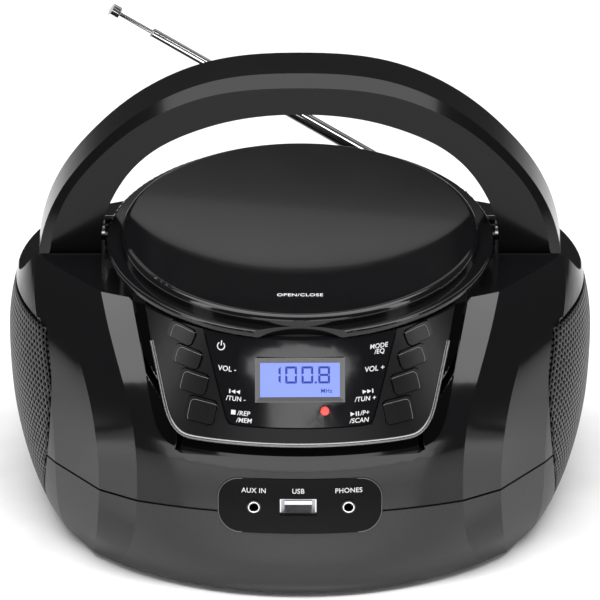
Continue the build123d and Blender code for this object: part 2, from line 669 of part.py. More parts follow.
with BuildPart() as antenna_rod:
    add(rod_piece(75, 157, 0.9))
    add(rod_piece(75, 78, 1.5))
    add(rod_piece(157, 160.5, 2.6))
antenna_rod.part.label = "antenna_rod"

# ---------------------------------------------------------------- power and boards
with BuildPart() as battery_bay:
    add(bay_outer)
    add(bay_inner, mode=Mode.SUBTRACT)
battery_bay.part.label = "battery_bay"

with BuildPart() as battery_door:
    add((outer - inner) & door_zone.part)
    with Locations((0, 91.5, 30.5)):
        Box(16, 4, 1.2, mode=Mode.SUBTRACT)     # finger grip
battery_door.part.label = "battery_door"

with BuildPart() as battery_contacts:
    for s in (-1, 1):
        for z in (14.5, 25.5):
            add(block(s * 48.5 - 0.5, s * 48.5 + 0.5, 60, 76, z - 4.5, z + 4.5))
battery_contacts.part.label = "battery_contacts"

with BuildPart() as power_inlet:
    add(inlet_box & hull(-0.6))
    with BuildSketch(Plane.XZ.offset(-93)):
        with Locations((-64, 22)):
            SlotOverall(14.6, 8.4)
    extrude(amount=14, mode=Mode.SUBTRACT)
    for x in (-68.3, -59.7):
        with Locations(Location((x, 82.0, 22), (90, 0, 0))):
            Cylinder(1.2, 7.0)                  # contact pins
power_inlet.part.label = "power_inlet"

with BuildPart() as transformer:
    add(block(-77, -58.5, 42, 57, BASE_Z + WALL, 29))
    add(block(-73, -63, 39.5, 59.5, 8, 26))     # windings
transformer.part.label = "transformer"

with BuildPart() as main_board:
    add(block(-56, 56, -32, 38, 19.0, 20.6))
    for x, y, w, d, h in ((-20, 0, 22, 22, 3), (14, 6, 14, 14, 2.4), (38, -14, 8, 18, 12), (-42, 14, 10, 10, 14)):
        add(block(x - w / 2, x + w / 2, y - d / 2, y + d / 2, 20.6, 20.6 + h))
main_board.part.label = "main_board"

with BuildPart() as button_board:
    add((panel_volume(7.2) - panel_volume(8.8)) & front_prism([(0, 66), (48, 66), (52, 80), (56, 95.5), (0, 95.5)]))
    for x, z in ((-24, 67.6), (24, 67.6), (-53.6, 92.5), (53.6, 92.5)):
        add(panel_key(x, z, 2.6, 2.6, 0, -3.05, 7.6, 0.6) - panel_volume(2.9999))
    add(block(-19.0, 19.0, -110, -50, 74, 100), mode=Mode.SUBTRACT)   # window for the display
button_board.part.label = "button_board"

with BuildPart() as rubber_feet:
    for x, y in ((-60, -52), (60, -52), (-70, 56), (70, 56)):
        with Locations((x, y, BASE_Z / 2)):
            Cylinder(7.0, BASE_Z)
    chamfer(rubber_feet.edges().group_by(Axis.Z)[0], 0.6)
rubber_feet.part.label = "rubber_feet"

with BuildPart() as case_screws:
    for x, y in SCREWS:
        with Locations((x, y, 3.4)):
            Cylinder(3.4, 1.2)
        with Locations((x, y, 9.0)):
            Cylinder(1.6, 10.0)
        with Locations((x, y, 2.9)):
            Box(4.4, 0.9, 0.8, mode=Mode.SUBTRACT)
            Box(0.9, 4.4, 0.8, mode=Mode.SUBTRACT)
case_screws.part.label = "case_screws"

# ---------------------------------------------------------------- STEP files
os.makedirs("parts", exist_ok=True)


def largest(shape):
    """The main solid of a shape, without cutting crumbs."""
    return max(shape.solids(), key=lambda s: s.volume)


export_step(largest(lower_case.part), "parts/lower_case.step")
export_step(largest(upper_case.part), "parts/upper_case.step")
export_step(largest(fascia_bezel.part), "parts/fascia_bezel.step")
export_step(largest(display_lens.part), "parts/display_lens.step")
export_step(largest(power_led.part), "parts/power_led.step")
export_step(largest(lcd_module.part), "parts/lcd_module.step")
export_step(column_trim_left.part, "parts/column_trim_left.step")
export_step(column_trim_right.part, "parts/column_trim_right.step")
export_step(largest(jack_panel.part), "parts/jack_panel.step")
export_step(largest(usb_socket.part), "parts/usb_socket.step")
export_step(largest(cd_well.part), "parts/cd_well.step")
export_step(largest(cd_chassis.part), "parts/cd_chassis.step")
export_step(sled_rails.part, "parts/sled_rails.step")
export_step(largest(laser_sled.part), "parts/laser_sled.step")
export_step(largest(spindle_motor.part), "parts/spindle_motor.step")
export_step(largest(turntable.part), "parts/turntable.step")
export_step(largest(lid_shell.part), "parts/lid_shell.step")
export_step(largest(lid_insert.part), "parts/lid_insert.step")
export_step(largest(lid_hinge_pin.part), "parts/lid_hinge_pin.step")
export_step(largest(disc_clamp.part), "parts/disc_clamp.step")
export_step(largest(handle_front_shell.part), "parts/handle_front_shell.step")
export_step(largest(handle_rear_shell.part), "parts/handle_rear_shell.step")
export_step(handle_pivot_pins.part, "parts/handle_pivot_pins.step")
export_step(largest(antenna_bracket.part), "parts/antenna_bracket.step")
export_step(largest(antenna_swivel.part), "parts/antenna_swivel.step")
export_step(largest(antenna_pin.part), "parts/antenna_pin.step")
export_step(largest(antenna_tube_1.part), "parts/antenna_tube_1.step")
export_step(largest(antenna_tube_2.part), "parts/antenna_tube_2.step")
export_step(largest(antenna_tube_3.part), "parts/antenna_tube_3.step")
export_step(largest(antenna_rod.part), "parts/antenna_rod.step")
export_step(largest(battery_bay.part), "parts/battery_bay.step")
export_step(largest(battery_door.part), "parts/battery_door.step")
export_step(battery_contacts.part, "parts/battery_contacts.step")
export_step(largest(power_inlet.part), "parts/power_inlet.step")
export_step(largest(transformer.part), "parts/transformer.step")
export_step(largest(main_board.part), "parts/main_board.step")
export_step(largest(button_board.part), "parts/button_board.step")
export_step(rubber_feet.part, "parts/rubber_feet.step")
export_step(case_screws.part, "parts/case_screws.step")
for group in (keys, jack_parts, speaker_parts):
    for name, piece in group.items():
        export_step(largest(piece), "parts/" + name + ".step")
for piece in grille_parts.values():
    export_step(largest(piece), "parts/" + piece.label + ".step")
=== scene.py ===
"""Looks of the portable boombox: materials, perforated grilles, display, markings, light and camera."""

import json
from math import cos, pi, radians, sin, sqrt

import bpy
from mathutils import Matrix, Vector
from mathutils.bvhtree import BVHTree


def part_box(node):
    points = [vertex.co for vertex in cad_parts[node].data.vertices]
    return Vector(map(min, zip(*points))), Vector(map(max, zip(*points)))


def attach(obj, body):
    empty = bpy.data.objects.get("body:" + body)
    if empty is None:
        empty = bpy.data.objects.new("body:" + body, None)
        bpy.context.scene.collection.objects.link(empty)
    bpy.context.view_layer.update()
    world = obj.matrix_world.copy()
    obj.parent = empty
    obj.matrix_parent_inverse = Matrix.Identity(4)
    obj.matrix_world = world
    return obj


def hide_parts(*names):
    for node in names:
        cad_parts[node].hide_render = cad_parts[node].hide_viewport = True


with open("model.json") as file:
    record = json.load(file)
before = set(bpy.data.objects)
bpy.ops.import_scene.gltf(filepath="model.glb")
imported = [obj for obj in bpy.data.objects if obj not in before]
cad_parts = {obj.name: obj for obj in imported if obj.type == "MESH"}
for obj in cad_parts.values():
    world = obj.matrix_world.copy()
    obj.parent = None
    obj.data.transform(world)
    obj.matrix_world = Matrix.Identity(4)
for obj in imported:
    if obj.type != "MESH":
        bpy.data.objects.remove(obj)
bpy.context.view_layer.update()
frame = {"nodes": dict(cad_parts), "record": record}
NODES = frame["nodes"]
SLOT_OF = {row["node"]: row["material_slot"] for row in frame["record"]["subparts"]}

MM = 0.001                 # sizes and outlines are in millimetres, points and placements in metres
CLEAR = 0.2                # rays start this far out, in metres, clear of the object
PLATE = 0.05               # thickness of printed symbols
CLOUD_SCALE = 28.0         # soft variation of roughness and tint over each finish
DARKER, LIGHTER = 0.9, 1.12   # how far that variation takes the colour
COAT_ROUGH = 0.03
SMOOTHEST = 0.02           # least roughness of a finish
BUMP_DEPTH = 0.0002        # height of moulding grain, in metres
CAPITAL = 0.7              # height of a capital as a share of the font size
INK, SPREAD = 0.06, 0.03   # how far printed letters stand up, and how much bolder than the font they are
AMBIENT = 0.16             # strength of the grey surroundings


# ---------------------------------------------------------------- materials
def material(name, color, rough, metallic=0.0, coat=0.0, vary=0.04, grain=0.0, grain_scale=900.0, emit=None,
             emit_strength=0.0, specular=0.5):
    """A procedural finish: tint, roughness and, where grain is given, bump that vary over the surface."""
    mat = bpy.data.materials.new(name)
    mat.use_nodes = True
    tree = mat.node_tree
    shader = tree.nodes["Principled BSDF"]
    shader.inputs["Metallic"].default_value = metallic
    shader.inputs["Coat Weight"].default_value = coat
    shader.inputs["Coat Roughness"].default_value = COAT_ROUGH
    shader.inputs["Specular IOR Level"].default_value = specular
    place = tree.nodes.new("ShaderNodeTexCoord")
    cloud = tree.nodes.new("ShaderNodeTexNoise")
    cloud.inputs["Scale"].default_value = CLOUD_SCALE
    cloud.inputs["Detail"].default_value = 5.0
    tree.links.new(place.outputs["Object"], cloud.inputs["Vector"])
    rough_map = tree.nodes.new("ShaderNodeMapRange")
    rough_map.inputs["To Min"].default_value = max(rough - vary, SMOOTHEST)
    rough_map.inputs["To Max"].default_value = rough + vary
    tree.links.new(cloud.outputs["Fac"], rough_map.inputs["Value"])
    tree.links.new(rough_map.outputs["Result"], shader.inputs["Roughness"])
    tint = tree.nodes.new("ShaderNodeMix")
    tint.data_type = "RGBA"
    tint.inputs["A"].default_value = (*[c * DARKER for c in color], 1)
    tint.inputs["B"].default_value = (*[min(c * LIGHTER, 1) for c in color], 1)
    tree.links.new(cloud.outputs["Fac"], tint.inputs["Factor"])
    tree.links.new(tint.outputs["Result"], shader.inputs["Base Color"])
    if grain:
        fine = tree.nodes.new("ShaderNodeTexNoise")
        fine.inputs["Scale"].default_value = grain_scale
        fine.inputs["Detail"].default_value = 3.0
        tree.links.new(place.outputs["Object"], fine.inputs["Vector"])
        bump = tree.nodes.new("ShaderNodeBump")
        bump.inputs["Strength"].default_value = grain
        bump.inputs["Distance"].default_value = BUMP_DEPTH
        tree.links.new(fine.outputs["Fac"], bump.inputs["Height"])
        tree.links.new(bump.outputs["Normal"], shader.inputs["Normal"])
    if emit:
        shader.inputs["Emission Color"].default_value = (*emit, 1)
        shader.inputs["Emission Strength"].default_value = emit_strength
    return mat


# one finish for each material slot of the record
FINISH = {
    "black_gloss": material("black_gloss", (0.004, 0.004, 0.0045), 0.12, coat=0.15, vary=0.03, specular=0.32),
    "lens_smoke": material("lens_smoke", (0.004, 0.004, 0.005), 0.05, coat=0.2, vary=0.01, specular=0.42),
    "grille_black": material("grille_black", (0.012, 0.012, 0.013), 0.34, metallic=0.3, grain=0.2),
    "black_matte": material("black_matte", (0.012, 0.012, 0.012), 0.42, grain=0.5),
    "lcd_blue": material("lcd_blue", (0.04, 0.05, 0.14), 0.35, emit=(0.27, 0.36, 0.93), emit_strength=0.95,
                         specular=0.2),
    "led_red": material("led_red", (0.55, 0.02, 0.01), 0.18, coat=0.6, emit=(0.8, 0.03, 0.01),
                        emit_strength=0.12),
    "board_green": material("board_green", (0.03, 0.16, 0.06), 0.4, grain=0.2),
    "jack_metal": material("jack_metal", (0.78, 0.78, 0.8), 0.16, metallic=1.0),
    "cone_paper": material("cone_paper", (0.02, 0.02, 0.02), 0.8, grain=0.8, grain_scale=1600.0),
    "frame_steel": material("frame_steel", (0.12, 0.12, 0.13), 0.4, metallic=0.8),
    "magnet": material("magnet", (0.05, 0.05, 0.05), 0.6, grain=0.6),
    "steel": material("steel", (0.55, 0.55, 0.57), 0.28, metallic=1.0, grain=0.15),
    "transformer_iron": material("transformer_iron", (0.12, 0.1, 0.09), 0.5, metallic=0.6, grain=0.4),
    "rubber": material("rubber", (0.012, 0.012, 0.012), 0.75, grain=0.7),
    "chrome": material("chrome", (0.82, 0.82, 0.84), 0.07, metallic=1.0, vary=0.03),
    "white_plastic": material("white_plastic", (0.7, 0.7, 0.68), 0.35, grain=0.2),
}
# finishes of single pieces
PRINT = material("print_white", (0.62, 0.62, 0.63), 0.5, grain=0.1)
DIGIT = material("digit_blue", (0.01, 0.015, 0.1), 0.4, emit=(0.03, 0.05, 0.33), emit_strength=0.9,
                 specular=0.1)
KEY = material("key_black", (0.004, 0.004, 0.0045), 0.3, specular=0.25, grain=0.06, grain_scale=2500.0)
# pale finish of the beads round the keys and the socket panel: a painted highlight along their edges
PAINTED_EDGE_HIGHLIGHT = material("edge_pale_painted_highlight", (0.13, 0.13, 0.135), 0.32, specular=0.4, grain=0.05)
BEZEL = material("bezel_black", (0.004, 0.004, 0.0045), 0.32, specular=0.22, grain=0.05)
# black of the dark joint round the display window, and of the strip over the bezel groove, where it is
# painted shade of the recess
JOINT_AND_SHADE_BLACK = material("joint_black_and_painted_recess_shade", (0.001, 0.001, 0.001), 0.7, specular=0.02, grain=0.1)
PILL = material("socket_panel", (0.0015, 0.0015, 0.0018), 0.2, specular=0.08, vary=0.02)
# lighter satin of the rounded bead round the bezel: its colour is a painted highlight along the bezel's outer
# edge
RIM_HIGHLIGHT = material("rim_satin_painted_highlight", (0.16, 0.16, 0.165), 0.24, metallic=0.8, coat=0.2, grain=0.05)
GRIP = material("handle_black", (0.004, 0.004, 0.0045), 0.16, coat=0.05, vary=0.04, specular=0.2)
FRAME_GREY = material("frame_grey", (0.07, 0.07, 0.072), 0.28, coat=0.3)
FLOOR_WHITE = material("floor_white", (0.88, 0.88, 0.88), 0.16, vary=0.02, specular=0.35)


def paint(obj, mat):
    """One finish over a new piece."""
    obj.data.materials.clear()
    obj.data.materials.append(mat)


def paint_node(node, mat):
    """One finish in every material slot of a CAD node."""
    for i in range(len(NODES[node].data.materials)):
        NODES[node].data.materials[i] = mat


for node in NODES:
    paint_node(node, FINISH[SLOT_OF[node]])


# ---------------------------------------------------------------- places on the solids
def tree_of(*nodes):
    """Ray-cast trees of some CAD nodes."""
    trees = []
    for node in nodes:
        mesh = NODES[node].data
        trees.append(BVHTree.FromPolygons([v.co for v in mesh.vertices], [p.vertices for p in mesh.polygons]))
    return trees


def hit(trees, origin, direction):
    """Nearest point and outward normal that a ray meets, or (None, None)."""
    found = [t.ray_cast(Vector(origin), Vector(direction)) for t in trees]
    found = [f for f in found if f[0] is not None]
    if not found:
        return None, None
    best = min(found, key=lambda f: f[3])
    normal = best[1]
    return best[0], (-normal if normal.dot(Vector(direction)) > 0 else normal)


def front_hit(trees, x, z):
    """Point and normal that the front shows at x, z in metres."""
    return hit(trees, (x, -CLEAR, z), (0, 1, 0))


def standing_on(point, normal, lift=0.0):
    """Placement whose Z is the surface normal and whose Y climbs the surface."""
    n = Vector(normal).normalized()
    x = Vector((0, 0, 1)).cross(n).normalized()
    y = n.cross(x)
    m = Matrix((x, y, n)).transposed().to_4x4()
    m.translation = Vector(point) + n * lift
    return m


FRONT = tree_of("fascia_bezel", "display_lens", "jack_panel")
BEZEL_ONLY = tree_of("fascia_bezel")
WINDOW = tree_of("fascia_bezel", "display_lens")
RECESS = tree_of("fascia_bezel", "upper_case")
LID = tree_of("lid_insert", "lid_shell")


def front_place(x, z, lift=0.2):
    """Placement on the front panels at x, z in millimetres."""
    point, normal = front_hit(FRONT, x * MM, z * MM)
    return standing_on(point, normal, lift * MM)


# ---------------------------------------------------------------- new pieces
def link(obj, mat, body):
    """Put a new piece in the scene, painted and riding on its body."""
    bpy.context.scene.collection.objects.link(obj)
    paint(obj, mat)
    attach(obj, body)
    return obj


def mesh_piece(name, verts, faces, mat, body, place=None, smooth=False):
    """A new mesh from points in millimetres."""
    mesh = bpy.data.meshes.new(name)
    mesh.from_pydata([tuple(c * MM for c in v) for v in verts], [], faces)
    mesh.update()
    if smooth:
        mesh.polygons.foreach_set("use_smooth", [True] * len(mesh.polygons))
    obj = bpy.data.objects.new(name, mesh)
    if place is not None:
        obj.matrix_world = place
    return link(obj, mat, body)


def words(name, text, size, place, body="case", mat=PRINT, shear=0.0):
    """Raised printed lettering; size is the capital height in millimetres."""
    curve = bpy.data.curves.new(name, "FONT")
    curve.body = text
    curve.size = size * MM / CAPITAL
    curve.align_x = "CENTER"
    curve.align_y = "CENTER"
    curve.shear = shear
    curve.extrude = INK * MM
    curve.offset = SPREAD * MM
    curve.space_character = 1.05
    curve.space_line = 0.85
    obj = bpy.data.objects.new(name, curve)
    obj.matrix_world = place
    return link(obj, mat, body)


def plates(name, outlines, mat, place, thick=PLATE):
    """Flat plates on the casing with the given outlines, as one mesh."""
    verts, faces = [], []
    for outline in outlines:
        k, n = len(verts), len(outline)
        verts += [(x, y, 0) for x, y in outline] + [(x, y, thick) for x, y in outline]
        faces += [list(range(k, k + n))[::-1], list(range(k + n, k + 2 * n))]
        faces += [[k + i, k + (i + 1) % n, k + n + (i + 1) % n, k + n + i] for i in range(n)]
    return mesh_piece(name, verts, faces, mat, "case", place)


def ring_arc(r, w, a0, a1, steps=24):
    """Outline of an open ring of outer radius r and width w."""
    t = [a0 + (a1 - a0) * i / steps for i in range(steps + 1)]
    out = [(r * cos(a), r * sin(a)) for a in t]
    return out + [((r - w) * cos(a), (r - w) * sin(a)) for a in reversed(t)]


def rect(x0, x1, y0, y1):
    """Outline of a rectangle."""
    return [(x0, y0), (x1, y0), (x1, y1), (x0, y1)]


def triangle(x, w, h, way=1):
    """Outline of an arrowhead that points right, or left where way is -1."""
    return [(x, -h / 2), (x + way * w, 0), (x, h / 2)][::way]


def lathe(name, profile, mat, body, place, steps=48):
    """A revolved ring from (radius, height) points, closed on itself."""
    n = len(profile)
    verts, faces = [], []
    for i in range(steps):
        a = 2 * pi * i / steps
        verts += [(r * cos(a), r * sin(a), h) for r, h in profile]
        here, after = i * n, (i + 1) % steps * n
        faces += [[here + j, after + j, after + (j + 1) % n, here + (j + 1) % n] for j in range(n)]
    return mesh_piece(name, verts, faces, mat, body, place, smooth=True)


def bead(name, spots, radius, mat, body, closed):
    """Rounded bead through points: a closed loop of straight runs, or one open smooth line."""
    curve = bpy.data.curves.new(name, "CURVE")
    curve.dimensions = "3D"
    curve.bevel_depth = radius * MM
    curve.bevel_resolution = 4
    spline = curve.splines.new("POLY" if closed else "NURBS")
    spline.points.add(len(spots) - 1)
    for target, p in zip(spline.points, spots):
        target.co = (*p, 1)
    if closed:
        spline.use_cyclic_u = True
    else:
        spline.order_u = 3
        spline.use_endpoint_u = True
    return link(bpy.data.objects.new(name, curve), mat, body)


# ---------------------------------------------------------------- perforated grilles
PITCH = 2.5                # hole spacing
HOLE = 0.36                # hole radius as a share of the spacing
SHEET = 0.7                # thickness of the perforated sheet
SINK = 0.1                 # how far the sheet lies inside the solid's surface
FACING = 0.25              # least sideways part of the normal where the sheet is made


def grille(side, sign):
    """Perforated sheet over a grille's outer surface, in place of its plain solid."""
    node = "speaker_grille_" + side
    trees = tree_of(node)
    low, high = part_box(node)
    mid_y, mid_z = (low.y + high.y) / 2 / MM, (low.z + high.z) / 2 / MM
    verts, faces, index = [], [], {}

    def vertex(y, z):
        """Index of the vertex on the surface at y, z, or None off its edge."""
        key = (round(y, 3), round(z, 3))
        if key not in index:
            point, normal = hit(trees, (sign * CLEAR, y * MM, z * MM), (-sign, 0, 0))
            if point is None or normal.x * sign < FACING:
                index[key] = None
            else:
                index[key] = len(verts)
                verts.append((point.x / MM - sign * SINK, y, z))
        return index[key]

    step_z = PITCH * sqrt(3) / 2
    rows = int((high.z - low.z) / MM / step_z) + 2
    cols = int((high.y - low.y) / MM / PITCH) + 2
    cell = PITCH / sqrt(3)
    corners = [(cos(pi / 6 + k * pi / 3), sin(pi / 6 + k * pi / 3)) for k in range(6)]
    for r in range(-rows // 2, rows // 2 + 1):
        for c in range(-cols // 2, cols // 2 + 1):
            cy = mid_y + (c + (r % 2) / 2) * PITCH
            cz = mid_z + r * step_z
            ring = [vertex(cy + cell * u, cz + cell * v) for u, v in corners]
            if None in ring:
                continue
            hole = [vertex(cy + HOLE * PITCH * u, cz + HOLE * PITCH * v) for u, v in corners]
            for k in range(6):
                quad = [ring[k], ring[(k + 1) % 6], hole[(k + 1) % 6], hole[k]]
                faces.append(quad if sign > 0 else quad[::-1])
    sheet = mesh_piece("grille_mesh_" + side, verts, faces, FINISH["grille_black"], "case", smooth=True)
    thick = sheet.modifiers.new("sheet", "SOLIDIFY")
    thick.thickness = SHEET * MM
    thick.offset = -1
    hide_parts(node)


grille("left", -1)
grille("right", 1)


# ---------------------------------------------------------------- softened edges, and pale outlines painted as highlights
def soften(node, width, angle=35, segments=3):
    """Small rounded edges that catch the light."""
    bevel = NODES[node].modifiers.new("edge", "BEVEL")
    bevel.width = width * MM
    bevel.segments = segments
    bevel.limit_method = "ANGLE"
    bevel.angle_limit = radians(angle)
    bevel.harden_normals = False
    bevel.use_clamp_overlap = True


def half_hull(points):
    """One side of the flat convex hull of sorted points."""
    chain = []
    for x, y in points:
        while len(chain) > 1:
            (xa, ya), (xb, yb) = chain[-2:]
            if (xb - xa) * (y - ya) - (yb - ya) * (x - xa) > 0:
                break
            chain.pop()
        chain.append((x, y))
    return chain[:-1]


def painted_highlight_edge_line(node, body, depth, inset=0.3, radius=0.11):
    """Thin pale bead just inside the outline of a node's front face, which curves back by depth; its pale
    colour is a painted highlight along the edge.
    """
    trees = tree_of(node)
    low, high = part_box(node)
    centre = (low + high) / 2
    _, normal = front_hit(trees, centre.x, centre.z)
    place = standing_on(centre, normal or (0, -1, 0))     # the socket panel is open at its centre
    local = [place.inverted() @ v.co for v in NODES[node].data.vertices]
    top = max(p.z for p in local)
    face = sorted((p.x, p.y) for p in local if p.z > top - depth * MM)
    spots = []
    for x, y in half_hull(face) + half_hull(face[::-1]):
        flat = Vector((x, y, 0))
        seen = place @ (flat - flat.normalized() * inset * MM)
        point, _ = front_hit(trees, seen.x, seen.z)
        if point is not None:
            spots.append(point)
    bead(node + "_line", spots, radius, PAINTED_EDGE_HIGHLIGHT, body, closed=True)


KEYS = [n for n in NODES if n.endswith("_button")]
for key in KEYS:
    paint_node(key, KEY)
    soften(key, 0.4)
    painted_highlight_edge_line(key, key, 0.5)

for node, width in (("fascia_bezel", 0.3), ("display_lens", 0.25), ("jack_panel", 0.3),
                    ("column_trim_left", 0.25), ("column_trim_right", 0.25), ("handle_front_shell", 0.9),
                    ("handle_rear_shell", 0.9), ("upper_case", 0.35), ("lower_case", 0.35)):
    soften(node, width)
for node, mat in (("handle_front_shell", GRIP), ("handle_rear_shell", GRIP), ("fascia_bezel", BEZEL),
                  ("jack_panel", PILL), ("usb_socket", FINISH["jack_metal"]),
                  ("aux_jack", FINISH["black_gloss"]), ("phones_jack", FINISH["black_gloss"])):
    paint_node(node, mat)
painted_highlight_edge_line("jack_panel", "case", 6.0, radius=0.14)

# ---------------------------------------------------------------- lines of the control panel
# right halves of outlines in x, z, from the top round to near the middle of the lower edge
BEZEL_HALF = [(61.0, 105.0), (58.4, 95.0), (55.6, 84.0), (53.9, 77.0), (52.4, 71.4), (50.4, 67.6),
              (47.2, 64.8), (43.0, 63.9), (30.0, 63.9), (15.0, 63.9)]
CHANNEL_HALF = [(67.0, 104.0), (63.6, 93.0), (61.2, 84.0), (59.6, 77.0), (58.0, 70.4), (56.0, 64.6),
                (52.4, 60.6), (46.6, 58.8), (31.0, 58.6), (15.0, 58.6)]
WINDOW_HALF = [(37.6, 102.6), (34.6, 92.4), (31.9, 82.2), (30.0, 75.8), (28.5, 70.5), (20.0, 70.3),
               (10.0, 70.3)]


def whole(half):
    """Both halves of an outline, left to right."""
    return [(-x, z) for x, z in half] + [(0, half[-1][1])] + half[::-1]


def panel_line(name, half, radius, mat, trees):
    """Raised bead over the control panel along an outline."""
    spots = [front_hit(trees, x * MM, z * MM)[0] for x, z in whole(half)]
    bead(name, [p for p in spots if p is not None], radius, mat, "case", closed=False)


def rounded(points, rounds=4):
    """Open outline with its corners cut again and again, which leaves smooth bends and close points."""
    for _ in range(rounds):
        cut = [points[0]]
        for (xa, za), (xb, zb) in zip(points, points[1:]):
            cut.append((0.75 * xa + 0.25 * xb, 0.75 * za + 0.25 * zb))
            cut.append((0.25 * xa + 0.75 * xb, 0.25 * za + 0.75 * zb))
        points = cut + [points[-1]]
    return points


def channel_shade_strip(name, inner_half, outer_half, rows=8, lift=0.2):
    """Dark strip over the groove between two outlines, painted shade of the recess."""
    inner, outer = rounded(whole(inner_half)), rounded(whole(outer_half))
    verts = []
    for (xi, zi), (xo, zo) in zip(inner, outer):
        for r in range(rows + 1):
            t = r / rows
            x, z = xi + (xo - xi) * t, zi + (zo - zi) * t
            point, _ = front_hit(RECESS, x * MM, z * MM)
            verts.append((x, point.y / MM - lift, z))
    k = rows + 1
    faces = [[i * k + r, i * k + r + 1, (i + 1) * k + r + 1, (i + 1) * k + r]
             for i in range(len(inner) - 1) for r in range(rows)]
    mesh_piece(name, verts, faces, JOINT_AND_SHADE_BLACK, "case", smooth=True)


# rounded bead round the bezel, painted lighter as a highlight of its edge
panel_line("bezel_rim", BEZEL_HALF, 0.95, RIM_HIGHLIGHT, BEZEL_ONLY)
# black strip of painted shade along the groove round the bezel
channel_shade_strip("bezel_channel_painted_shade", BEZEL_HALF, CHANNEL_HALF)
panel_line("window_joint", WINDOW_HALF, 0.28, JOINT_AND_SHADE_BLACK, WINDOW)

# ---------------------------------------------------------------- display
DISPLAY_Z = 88.6
FRAME_W, FRAME_H, FRAME_RIM, FRAME_DEPTH = 35.4, 17.6, 2.1, 0.55
GLASS_W, GLASS_H, GLASS_T = 31.4, 13.8, 0.14
DIGIT_W, DIGIT_H, STROKE, GAP = 4.6, 6.8, 0.85, 0.12
DIGIT_BASE = -1.4                       # foot of the figures, from the display's centre
DIGIT_LIFT = 0.16                       # the figures stand just proud of the glass
UNIT_X, UNIT_Y, UNIT_SIZE = 10.4, -4.4, 1.6
FIGURES = (("1", -12.2), ("0", -5.8), ("0", 0.6), ("8", 7.2))
POINT_X, POINT_SIZE = 5.8, 0.8
SEGMENTS = {"0": "abcdef", "1": "bc", "8": "abcdefg"}

display_place = front_place(0.0, DISPLAY_Z, 0.1)
digits_place = display_place @ Matrix.Translation((0, 0, DIGIT_LIFT * MM))


def bevel_frame(name, w, h, rim, depth, mat, place):
    """Rectangular frame whose faces slope in to the display."""
    lip, inner_depth = 0.3, 0.12
    rings = [(w / 2, h / 2, 0.0), (w / 2, h / 2, depth), (w / 2 - lip, h / 2 - lip, depth),
             (w / 2 - rim, h / 2 - rim, inner_depth), (w / 2 - rim, h / 2 - rim, 0.0)]
    verts = [(sx * a, sy * b, d) for a, b, d in rings for sx, sy in ((-1, -1), (1, -1), (1, 1), (-1, 1))]
    faces = [[i * 4 + j, i * 4 + (j + 1) % 4, (i + 1) * 4 + (j + 1) % 4, (i + 1) * 4 + j]
             for i in range(4) for j in range(4)]
    return mesh_piece(name, verts, faces, mat, "case", place)


def digit(char, x):
    """Seven-segment outlines of one figure whose left side is at x."""
    y, w, h, t, g = DIGIT_BASE, DIGIT_W, DIGIT_H, STROKE, GAP
    mid, half_t = y + h / 2, t / 2
    bars = {
        "a": [(x + t, y + h - t), (x + w - t, y + h - t), (x + w - g, y + h), (x + g, y + h)],
        "d": [(x + g, y), (x + w - g, y), (x + w - t, y + t), (x + t, y + t)],
        "g": [(x + t, mid - half_t), (x + w - t, mid - half_t), (x + w - half_t, mid),
              (x + w - t, mid + half_t), (x + t, mid + half_t), (x + half_t, mid)],
        "b": [(x + w - t, mid + half_t + g), (x + w, mid + g), (x + w, y + h - g),
              (x + w - t, y + h - t - g)],
        "c": [(x + w - t, y + t + g), (x + w, y + g), (x + w, mid - g), (x + w - t, mid - half_t - g)],
        "f": [(x, mid + g), (x + t, mid + half_t + g), (x + t, y + h - t - g), (x, y + h - g)],
        "e": [(x, y + g), (x + t, y + t + g), (x + t, mid - half_t - g), (x, mid - g)],
    }
    return [bars[s] for s in SEGMENTS[char]]


bevel_frame("display_frame", FRAME_W, FRAME_H, FRAME_RIM, FRAME_DEPTH, FRAME_GREY, display_place)
plates("display_glass", [rect(-GLASS_W / 2, GLASS_W / 2, -GLASS_H / 2, GLASS_H / 2)], FINISH["lcd_blue"],
       display_place, GLASS_T)
figures = [bar for char, x in FIGURES for bar in digit(char, x)]
figures.append(rect(POINT_X, POINT_X + POINT_SIZE, DIGIT_BASE, DIGIT_BASE + POINT_SIZE))
plates("display_digits", figures, DIGIT, digits_place)
words("display_unit", "MHz", UNIT_SIZE, digits_place @ Matrix.Translation((UNIT_X * MM, UNIT_Y * MM, 0)),
      mat=DIGIT)

# ---------------------------------------------------------------- markings
SLANT = 0.2
SOCKET_MARK_SIZE, SOCKET_MARK_Z = 1.95, 44.4
LID_MARK_Y, LID_MARK_LIFT, LID_MARK_SIZE, LID_TILT = -63.6, 0.3, 2.1, radians(4.8)

# name, text, capital height, x, z, slant
WORDS = (
    ("mark_volume_down", "VOL -", 2.0, -28.6, 91.0, 0),
    ("mark_tune_down", "/TUN -", 1.8, -25.2, 80.2, 0),
    ("mark_repeat", "/REP", 1.8, -22.2, 75.0, SLANT / 2),
    ("mark_memory", "/MEM", 1.8, -22.0, 72.4, SLANT / 2),
    ("mark_mode", "MODE\n/EQ", 1.8, 31.0, 98.2, SLANT),
    ("mark_volume_up", "VOL +", 2.0, 29.2, 91.0, SLANT),
    ("mark_tune_up", "/TUN +", 1.8, 25.6, 80.2, SLANT),
    ("mark_preset", "/P+", 1.8, 25.4, 75.0, SLANT),
    ("mark_scan", "/SCAN", 1.8, 23.2, 72.4, SLANT),
    ("mark_aux", "AUX IN", SOCKET_MARK_SIZE, -18.2, SOCKET_MARK_Z, 0),
    ("mark_usb", "USB", SOCKET_MARK_SIZE, -0.7, SOCKET_MARK_Z, 0),
    ("mark_phones", "PHONES", SOCKET_MARK_SIZE, 19.2, SOCKET_MARK_Z, 0),
)
